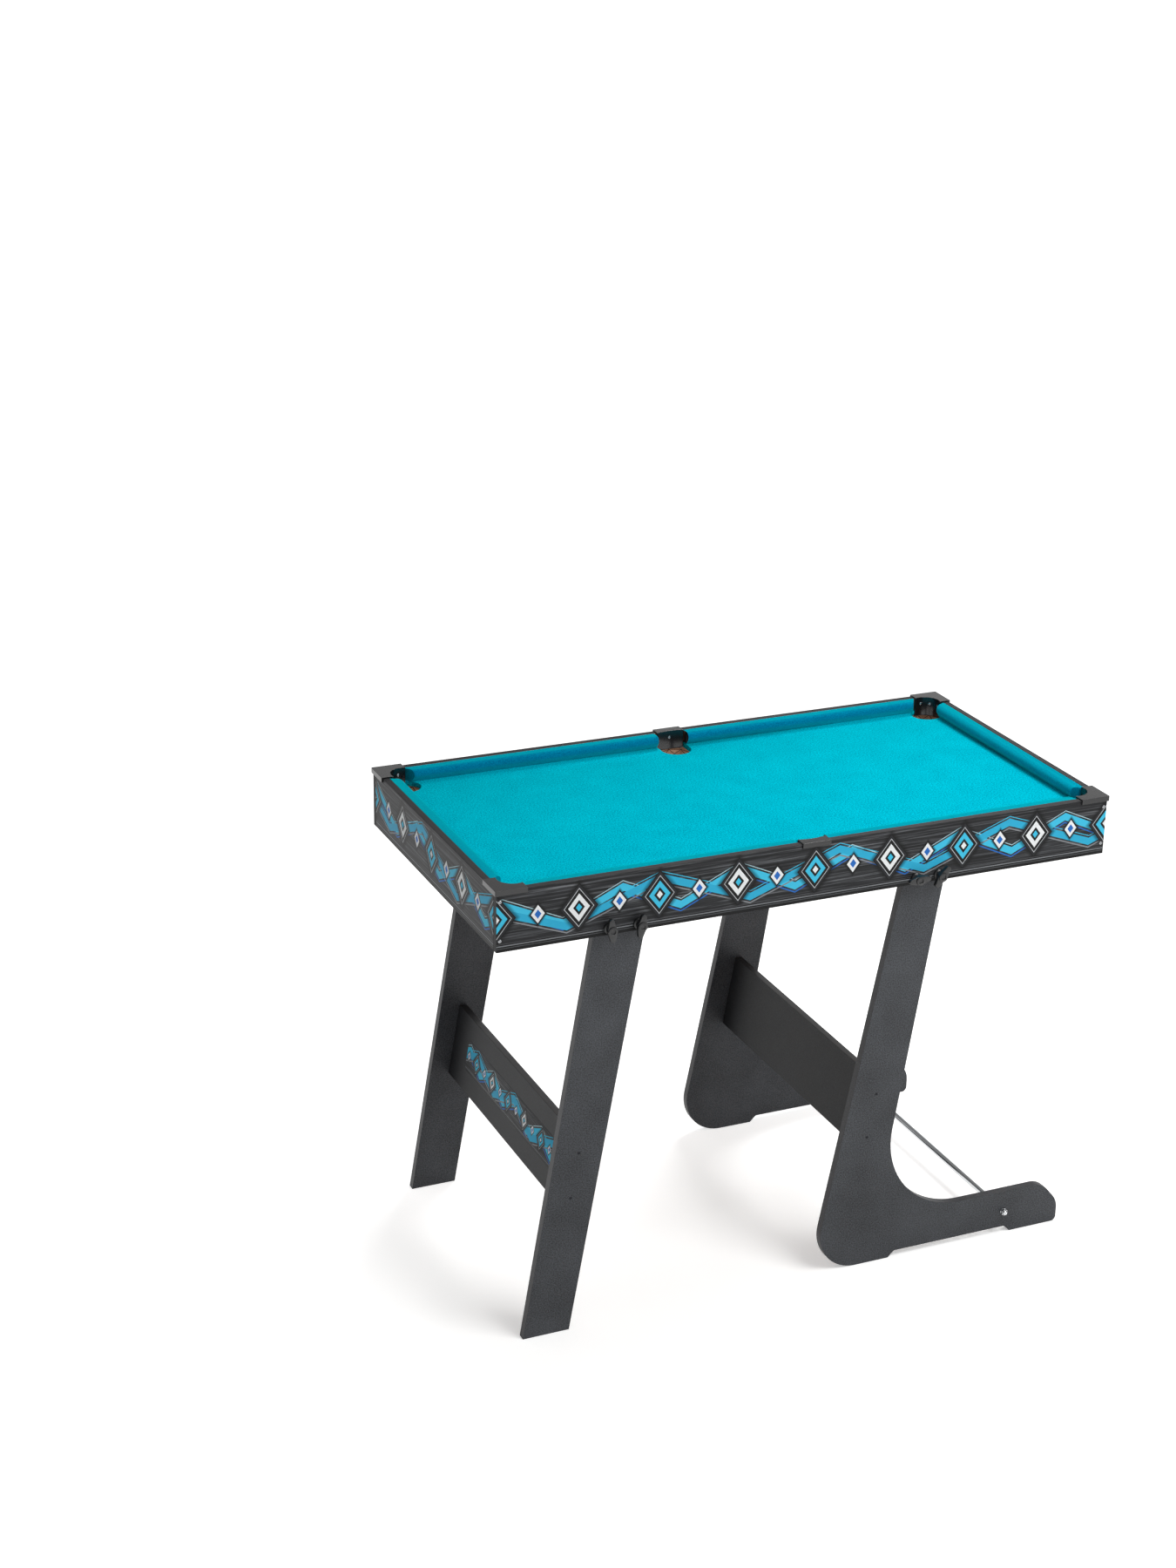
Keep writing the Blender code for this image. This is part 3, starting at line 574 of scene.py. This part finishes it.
def rail_strip(node):
    """One section carried between the strip's slanted ends, which are plastic beside a side pocket."""
    low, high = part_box(node)
    along, across = (0, 1) if high.x - low.x > high.y - low.y else (1, 0)
    way = -math.copysign(1, (low + high)[across])
    wall, wide = (high if way < 0 else low)[across], (high - low)[across]
    corners = [v.co for v in NODES[node].data.vertices]

    def reach(side, near, far):
        return side * max(side * c[along] for c in corners if near <= (c[across] - wall) * way <= far)

    bm = bmesh.new()
    rings = []
    for side in (-1, 1):
        back, front = reach(side, -MM, MM), reach(side, wide - MM, wide + MM)
        ring = []
        for depth, height in strip_section(wide, high.z - low.z):
            at = Vector((0, 0, low.z + height))
            at[along], at[across] = back + (front - back) * depth / wide, wall + way * depth
            ring.append(bm.verts.new(at))
        rings.append(ring)
    caps = [bm.faces.new(ring) for ring in rings]
    for k in range(len(rings[0])):
        bm.faces.new((rings[0][k - 1], rings[0][k], rings[1][k], rings[1][k - 1]))
    bmesh.ops.bevel(bm, geom=[e for cap in caps for e in cap.edges], offset=STRIP_END_EASE, segments=3,
                    profile=0.5, offset_type='OFFSET', affect='EDGES', clamp_overlap=False)
    bm.normal_update()
    for face in bm.faces:
        by_side_pocket = abs(face.calc_center_median()[along]) < 2 * POCKET_R
        face.material_index = int(by_side_pocket and abs(face.normal[along]) > SLANTED)
    return welded(bm, node)


def cushions():
    """Rubber rail strips wrapped in the bed's felt, its base colour darkened as painted shade on their faces,
    with stronger sheen and plastic cheeks.
    """
    names = [f"cushion_{side}_{end}" for side, _ in SIDES for end, _ in ENDS]
    for node in names + ["cushion_left", "cushion_right"]:
        ob = shown(f"felt_{node}", rail_strip(node), SHADE_DARKENED_RAIL_FELT, CAP_PLASTIC)
        stand_in(ob, node)


def pocket_caps():
    """Moulded plates, skirts and liners, their edges softened."""
    names = [f"corner_cap_{side}_{end}" for side, _ in SIDES for end, _ in ENDS]
    for node in names + ["side_cap_front", "side_cap_back"]:
        stand_in(eased(node, f"moulded_{node}", (CAP_PLASTIC,), CAP_EASE), node)


def net_knots(pocket):
    """Rings of knots from the bed down: the bag narrows to its foot, and each knot strays a little."""
    low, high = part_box(f"net_{pocket}")
    hub, top, deep = (low + high) / 2, high.z - CORD_R, high.z - low.z - 2 * CORD_R
    wide = (high.x - low.x) / 2 - CORD_R
    sway = random.Random(pocket)
    knots = []
    for j in range(NET_ROWS + 1):
        share = j / NET_ROWS
        r = wide * (1 - 0.82 * share ** 3.2)
        z = top - deep * (1 - (1 - share) ** 1.25)
        ring = []
        for k in range(NET_COLUMNS):
            a = 2 * math.pi * (k + 0.5 * (j % 2)) / NET_COLUMNS + sway.uniform(-0.07, 0.07) * (0 < j)
            lift = sway.uniform(-1.2, 1.2) * MM * (0 < j < NET_ROWS)
            ring.append(Vector((hub.x + r * math.cos(a), hub.y + r * math.sin(a), z + lift)))
        knots.append(ring)
    return knots


def net(pocket):
    """Knotted twine bag: strands run from knot to knot down the bag and gather at its foot."""
    name, knots = f"net_twine_{pocket}", net_knots(pocket)
    runs = []
    for j in range(NET_ROWS):
        for k in range(NET_COLUMNS):
            beside = (k + 1 if j % 2 else k - 1) % NET_COLUMNS
            runs += [(knots[j][k], knots[j + 1][k]), (knots[j][k], knots[j + 1][beside])]
    for ring in (knots[0], knots[-1]):
        runs += zip(ring, ring[1:] + ring[:1])
    curve = bpy.data.curves.new(name, 'CURVE')
    curve.dimensions, curve.use_fill_caps = '3D', True
    curve.bevel_depth, curve.bevel_resolution = CORD_R, 2
    for p, q in runs:
        spline = curve.splines.new('POLY')
        spline.points.add(1)
        spline.points[0].co, spline.points[1].co = (*p, 1), (*q, 1)
    mesh = baked(placed(name, curve))
    bm = bmesh.new()
    bm.from_mesh(mesh)
    for p in (p for ring in knots for p in ring):
        bmesh.ops.create_icosphere(bm, subdivisions=1, radius=KNOT_R, matrix=Matrix.Translation(p))
    bm.to_mesh(mesh)
    bm.free()
    stand_in(shown(name, mesh, TWINE), f"net_{pocket}")


def leg_boards():
    """Foil on both faces, a smoother band round the edges."""
    for frame_name in ("end", "stand"):
        for side, _ in SIDES:
            node = f"{frame_name}_leg_{side}"
            ob = eased(node, f"foiled_{node}", (LEG_FOIL, LEG_EDGE), BOARD_EASE,
                       pick=lambda n: 0 if abs(n.y) > SQUARE else 1)
            stand_in(ob, node)
        node = f"{frame_name}_stretcher"
        ob = eased(node, f"foiled_{node}", (STRETCHER_FOIL, LEG_EDGE), BOARD_EASE,
                   pick=lambda n: 0 if abs(n.x) > LEANING else 1)
        stand_in(ob, node)


def stretcher_face(node, sx):
    """Middle, outward direction and up direction of a leaning stretcher's broad face."""
    faces = [f for f in NODES[node].data.polygons if f.normal.x * sx > LEANING]
    corners = [NODES[node].data.vertices[i].co for f in faces for i in f.vertices]
    centre = (min(corners, key=lambda c: c.z) + max(corners, key=lambda c: c.z)) / 2
    centre.y = 0
    out = faces[0].normal.copy()
    up = out.cross(Vector((0, 1, 0)))
    return centre, out, up * math.copysign(1, up.z)


def labels():
    """A printed strip with rounded corners on the outer face of each stretcher."""
    x, y = LABEL_LENGTH / 2 - LABEL_CORNER, LABEL_HEIGHT / 2 - LABEL_CORNER
    corners = ((x, -y, -90), (x, y, 0), (-x, y, 90), (-x, -y, 180))
    turns = [(cx, cy, math.radians(start + 15 * k)) for cx, cy, start in corners for k in range(7)]
    outline = [(cx + LABEL_CORNER * math.cos(a), cy + LABEL_CORNER * math.sin(a)) for cx, cy, a in turns]
    for frame_name, sx in (("end", -1), ("stand", 1)):
        node = f"{frame_name}_stretcher"
        centre, out, up = stretcher_face(node, sx)
        plate = outline_plate("label", outline, LABEL_T, LABEL_EASE)
        ob = shown(f"label_{frame_name}", plate, LABEL_PRINT)
        turn = Matrix((up.cross(out), up, out)).transposed().to_4x4()
        ob.matrix_world = Matrix.Translation(centre + out * LABEL_GAP) @ turn
        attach(ob, NODES[node]["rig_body"])


def foot_rod():
    """Bright rod between the toes, its shoulders against the panels, with a domed nut outside each."""
    low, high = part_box("foot_rod")
    r, at = (high.z - low.z) / 2, (low + high) / 2
    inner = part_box("stand_leg_back")[0].y - ROD_GAP
    half = [(0, high.y), (r / 2, high.y), (r / 2, inner), (r - ROD_EASE, inner), (r, inner - ROD_EASE)]
    mesh = baked(spun("rod", half + [(a, -b) for a, b in half[::-1]], 48))
    ob = shown("chromed_foot_rod", mesh, CHROME)
    ob.matrix_world = Matrix.Translation(at) @ facing(1)
    stand_in(ob, "foot_rod")
    for side, sy in SIDES:
        domed_nut(f"rod_nut_{side}", at, sy)


def domed_nut(node, at, sy):
    """Flange, hexagon and dome, each a share of the nut's height."""
    low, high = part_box(node)
    tall, wide = high.y - low.y, (high.z - low.z) / 2
    dome_r = wide * 0.82
    dome = [(dome_r * math.cos(a), tall * 0.5 + tall * 0.5 * math.sin(a))
            for a in (math.radians(90 - 9 * k) for k in range(11))]
    cap = spun("dome", [(0, dome[0][1])] + dome[1:] + [(dome_r, tall * 0.2), (0, tall * 0.2)], 32)
    bm = bmesh.new()
    bm.from_mesh(baked(cap))
    for corners, top_r, deep, up in ((6, wide, 0.42, 0.31), (32, wide * 0.97, 0.1, 0.05)):
        bmesh.ops.create_cone(bm, cap_ends=True, segments=corners, radius1=wide, radius2=top_r,
                              depth=tall * deep, matrix=Matrix.Translation((0, 0, tall * up)))
    mesh = bpy.data.meshes.new(node)
    bm.to_mesh(mesh)
    bm.free()
    ob = shown(f"domed_{node}", mesh, CHROME)
    seat = Vector((at.x, low.y if sy > 0 else high.y, at.z))
    ob.matrix_world = Matrix.Translation(seat) @ facing(sy)
    stand_in(ob, node)


def knob_mesh():
    """Wing knob: a hub on a collar, two rounded wings and a ring recess in its face."""
    low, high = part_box("end_lock_knob_front")
    tall = high.y - low.y
    # millimetres: out from the axis and down from the face, then out and up from the seat
    face = ((0, 2.2), (3.6, 2.2), (4.2, 1.8), (4.4, 0.4), (4.8, 0), (7.2, 0), (8.0, 0.4), (8.2, 1.2))
    stem = ((8.2, 9.5), (7.6, 8.8), (7.0, 8.4), (7.0, 6.0), (7.6, 5.0), (9.0, 4.2), (9.5, 3.6), (9.5, 0.4),
            (9.1, 0), (0, 0))
    hub = [(r * MM, tall - down * MM) for r, down in face] + [(r * MM, up * MM) for r, up in stem]
    ob = spun("hub", hub, 48)
    tip = WING_TIP - WING_TIP_R
    quarter = [(tip + WING_TIP_R * math.cos(math.radians(a)), WING_TIP_R * math.sin(math.radians(a)))
               for a in range(0, 90, 10)] + [(tip, WING_TIP_R), (WING_ROOT, WING_ROOT_HALF)]
    half = quarter + [(-x, y) for x, y in quarter[::-1]]
    wings = half + [(x, -y) for x, y in half[-2:0:-1]]
    plate = shown("wings", outline_plate("wings", wings, WING_T, WING_EASE), KNOB_PLASTIC)
    plate.location.z = WING_UP
    join = ob.modifiers.new("Wings", 'BOOLEAN')
    join.operation, join.object = 'UNION', plate
    mesh = baked(ob)
    bpy.data.objects.remove(plate, do_unlink=True)
    return mesh


def knobs_and_bolts():
    """A knob outside each apron on a threaded bolt; pivot bolts end in a domed head inside the leg."""
    mesh = knob_mesh()
    for job in JOBS:
        for side, sy in SIDES:
            node, bolt = f"{job}_knob_{side}", f"{job}_bolt_{side}"
            low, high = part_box(node)
            axis = middle(bolt)
            seat = Vector((axis.x, low.y if sy > 0 else high.y, axis.z))
            wings = Matrix.Rotation(math.radians(-sy * WING_TURN[job]), 4, 'Z')
            ob = shown(f"wing_{node}", mesh.copy(), KNOB_PLASTIC)
            ob.matrix_world = Matrix.Translation(seat) @ facing(sy) @ wings
            stand_in(ob, node)
            thread_bolt(bolt, seat, sy, "pivot" in job)


def thread_bolt(node, seat, sy, headed):
    """Plated bolt with its thread drawn as ridges one pitch apart."""
    low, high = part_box(node)
    outer, inner = (high.y, low.y) if sy > 0 else (low.y, high.y)
    up, down = abs(outer - seat.y), abs(inner - seat.y)
    end = -down + (BOLT_HEAD_T if headed else BOLT_POINT)
    turns = int((up - end) / THREAD_PITCH)
    profile = [(0, up)]
    profile += [(BOLT_R - THREAD_DEPTH * (k % 2), up - THREAD_PITCH * k / 2) for k in range(2 * turns)]
    profile.append((BOLT_R, end))
    if headed:
        swing = [math.radians(15 * k) for k in range(6)]
        profile += [(BOLT_HEAD_R * math.cos(a), end - BOLT_HEAD_T * math.sin(a)) for a in swing]
    else:
        profile.append((BOLT_R - BOLT_POINT, -down))
    profile.append((0, -down))
    ob = shown(f"plated_{node}", baked(spun(node, profile, 24)), ZINC)
    ob.matrix_world = Matrix.Translation(seat) @ facing(sy)
    stand_in(ob, node)


def screw_mesh(r, tall):
    """Domed head with a cross recess, seated on Z = 0."""
    swing = [math.radians(10 * k) for k in range(9)]
    dome = [(r * math.sin(a), tall * math.cos(a) ** 0.8) for a in swing]
    ob = spun("head", dome + [(r, 0), (r, -0.2 * MM), (0, -0.2 * MM)], 32)
    bm = bmesh.new()
    for turn in (0, 90):
        size = Matrix.Diagonal((1.1 * r, 0.24 * r, tall, 1))
        bmesh.ops.create_cube(bm, size=1, matrix=Matrix.Translation((0, 0, tall)) @ Matrix.Rotation(
            math.radians(turn), 4, 'Z') @ size)
    cross = shown("cross", welded(bm, "cross"), ZINC)
    cut = ob.modifiers.new("Cross", 'BOOLEAN')
    cut.operation, cut.object = 'DIFFERENCE', cross
    cut.use_self = True
    mesh = baked(ob)
    bpy.data.objects.remove(cross, do_unlink=True)
    return mesh


def screws():
    """Apron ends, pocket liners and the ends of each stretcher."""
    bright, dark = screw_mesh(SCREW_R, SCREW_T), screw_mesh(BOARD_SCREW_R, BOARD_SCREW_T)
    count = 0

    def drive(mesh, look, at, out, body):
        nonlocal count
        count += 1
        ob = shown(f"screw_{count:02d}", mesh.copy(), look)
        ob.matrix_world = Matrix.Translation(at) @ out.to_track_quat('Z', 'Y').to_matrix().to_4x4()
        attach(ob, body)

    for _, sy in SIDES:
        for _, sx in ENDS:
            for up in SCREW_UP:
                at = Vector((sx * (APRON_HIGH.x - SCREW_IN), sy * APRON_Y, APRON_LOW.z + up))
                drive(bright, ZINC, at, Vector((0, sy, 0)), "table")
    for name, hub in POCKETS.items():
        if "_" in name:
            base = math.atan2(math.copysign(1, hub.y), math.copysign(1, hub.x))
            ways = [Matrix.Rotation(base + math.radians(a), 3, 'Z').col[0] for a in LINER_SCREW_TURNS]
            places = [hub.to_3d() + way * LINER_R for way in ways]
        else:
            ways = [Vector((0, math.copysign(1, hub.y), 0))]
            places = [ways[0] * SIDE_LINER_Y]
        for way, at in zip(ways, places):
            drive(dark, ZINC, Vector((at.x, at.y, TOP_Z - LINER_SCREW_DOWN)), -way, "table")
    for node in ("end_stretcher", "stand_stretcher"):
        up = stretcher_face(node, -1)[2]
        for _, sy in SIDES:
            for lift in (-BOARD_SCREW_UP, BOARD_SCREW_UP):
                at = middle(node) + up * lift
                at.y = sy * LEG_Y
                drive(dark, BLACK_STEEL, at, Vector((0, sy, 0)), NODES[node]["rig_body"])


def raw_boards():
    """Bed, battens and corner blocks keep their CAD shape in raw fibreboard."""
    for name, ob in NODES.items():
        if name.startswith(("bed_board", "bed_batten", "corner_block")):
            ob.material_slots[0].material = FIBREBOARD


def white_floor():
    """Paper sweep, lifted to white for the eye away from the feet, where it keeps its shadows."""
    bm = bmesh.new()
    bmesh.ops.create_grid(bm, x_segments=1, y_segments=1, size=FLOOR_HALF)
    mat, tree, shader = finish("white_sweep", {"Base Color": linear("#F6F6F5"), "Roughness": 0.9,
                                               "Specular IOR Level": 0.0, "Emission Color": (1, 1, 1, 1)})
    spot = add(tree, "Mapping", {"Vector": add(tree, "TexCoord", {}).outputs["Object"],
                                 "Location": (0, -FEET_Y, 0), "Scale": (FEET_SQUEEZE, 1, 1)})
    away = add(tree, "VectorMath", {0: spot}, operation='LENGTH').outputs["Value"]
    lift = add(tree, "MapRange", {"Value": away, "From Min": LIFT_FROM, "From Max": LIFT_TO,
                                  "To Min": FLOOR_LIFT, "To Max": FAR_LIFT})
    path = add(tree, "LightPath", {})
    eye = add(tree, "Math", {0: path.outputs["Is Camera Ray"], 1: path.outputs["Is Glossy Ray"]},
              operation="MAXIMUM")
    eye = add(tree, "Math", {0: eye, 1: path.outputs["Is Transmission Ray"]}, operation="MAXIMUM")
    seen = add(tree, "Math", {0: lift, 1: eye}, operation="MULTIPLY")
    tree.links.new(seen.outputs[0], shader.inputs["Emission Strength"])
    shown("floor", welded(bm, "floor"), mat)


def white_air():
    """Dim even light from all round, seen as white; glosses show a white wall under a dark ceiling."""
    world = bpy.data.worlds.new("white_air")
    bpy.context.scene.world = world
    world.use_nodes = True
    tree = world.node_tree
    way = add(tree, "SeparateXYZ", {0: add(tree, "TexCoord", {}).outputs["Generated"]})
    wall = add(tree, "MapRange", {"Value": way.outputs[2], "From Min": WALL_TOP - WALL_BLUR,
                                  "From Max": WALL_TOP + WALL_BLUR, "To Min": 1.0, "To Max": CEILING_LEVEL})
    path = add(tree, "LightPath", {})
    gloss = add(tree, "Math", {0: path.outputs["Is Glossy Ray"], 1: path.outputs["Is Transmission Ray"]},
                operation="MAXIMUM")
    around = add(tree, "MapRange", {"Value": gloss, "To Min": AIR_LEVEL, "To Max": wall})
    level = add(tree, "MapRange", {"Value": path.outputs["Is Camera Ray"], "To Min": around, "To Max": 1.0})
    tree.links.new(level.outputs[0], tree.nodes["Background"].inputs["Strength"])
    tree.nodes["Background"].inputs["Color"].default_value = (1, 1, 1, 1)


def soft_boxes():
    """A broad lamp before the right end, a gridded one behind it that rakes the bed."""
    for name, place, aim, size, watts, spread in LAMPS:
        lamp = bpy.data.lights.new(name, 'AREA')
        lamp.energy, lamp.size, lamp.spread = watts, size, math.radians(spread)
        ob = placed(name, lamp)
        ob.location = place
        ob.rotation_euler = (Vector(aim) - ob.location).to_track_quat('-Z', 'Y').to_euler()


def viewpoint():
    """Standing before the table's left end, looking down at it."""
    lens = bpy.data.cameras.new("camera")
    lens.sensor_fit, lens.sensor_height, lens.lens = 'VERTICAL', SENSOR, CAMERA_LENS
    camera = placed("camera", lens)
    camera.location = CAMERA_AT
    aim = (Vector(CAMERA_AIM) - Vector(CAMERA_AT)).to_track_quat('-Z', 'Y')
    camera.rotation_euler = (aim @ Quaternion((0, 0, 1), CAMERA_ROLL)).to_euler()
    bpy.context.scene.camera = camera
    bpy.context.scene.view_settings.view_transform = 'Standard'


aprons()
bed_cloth()
cushions()
pocket_caps()
for pocket in POCKETS:
    net(pocket)
leg_boards()
labels()
foot_rod()
knobs_and_bolts()
screws()
raw_boards()
white_floor()
white_air()
soft_boxes()
viewpoint()
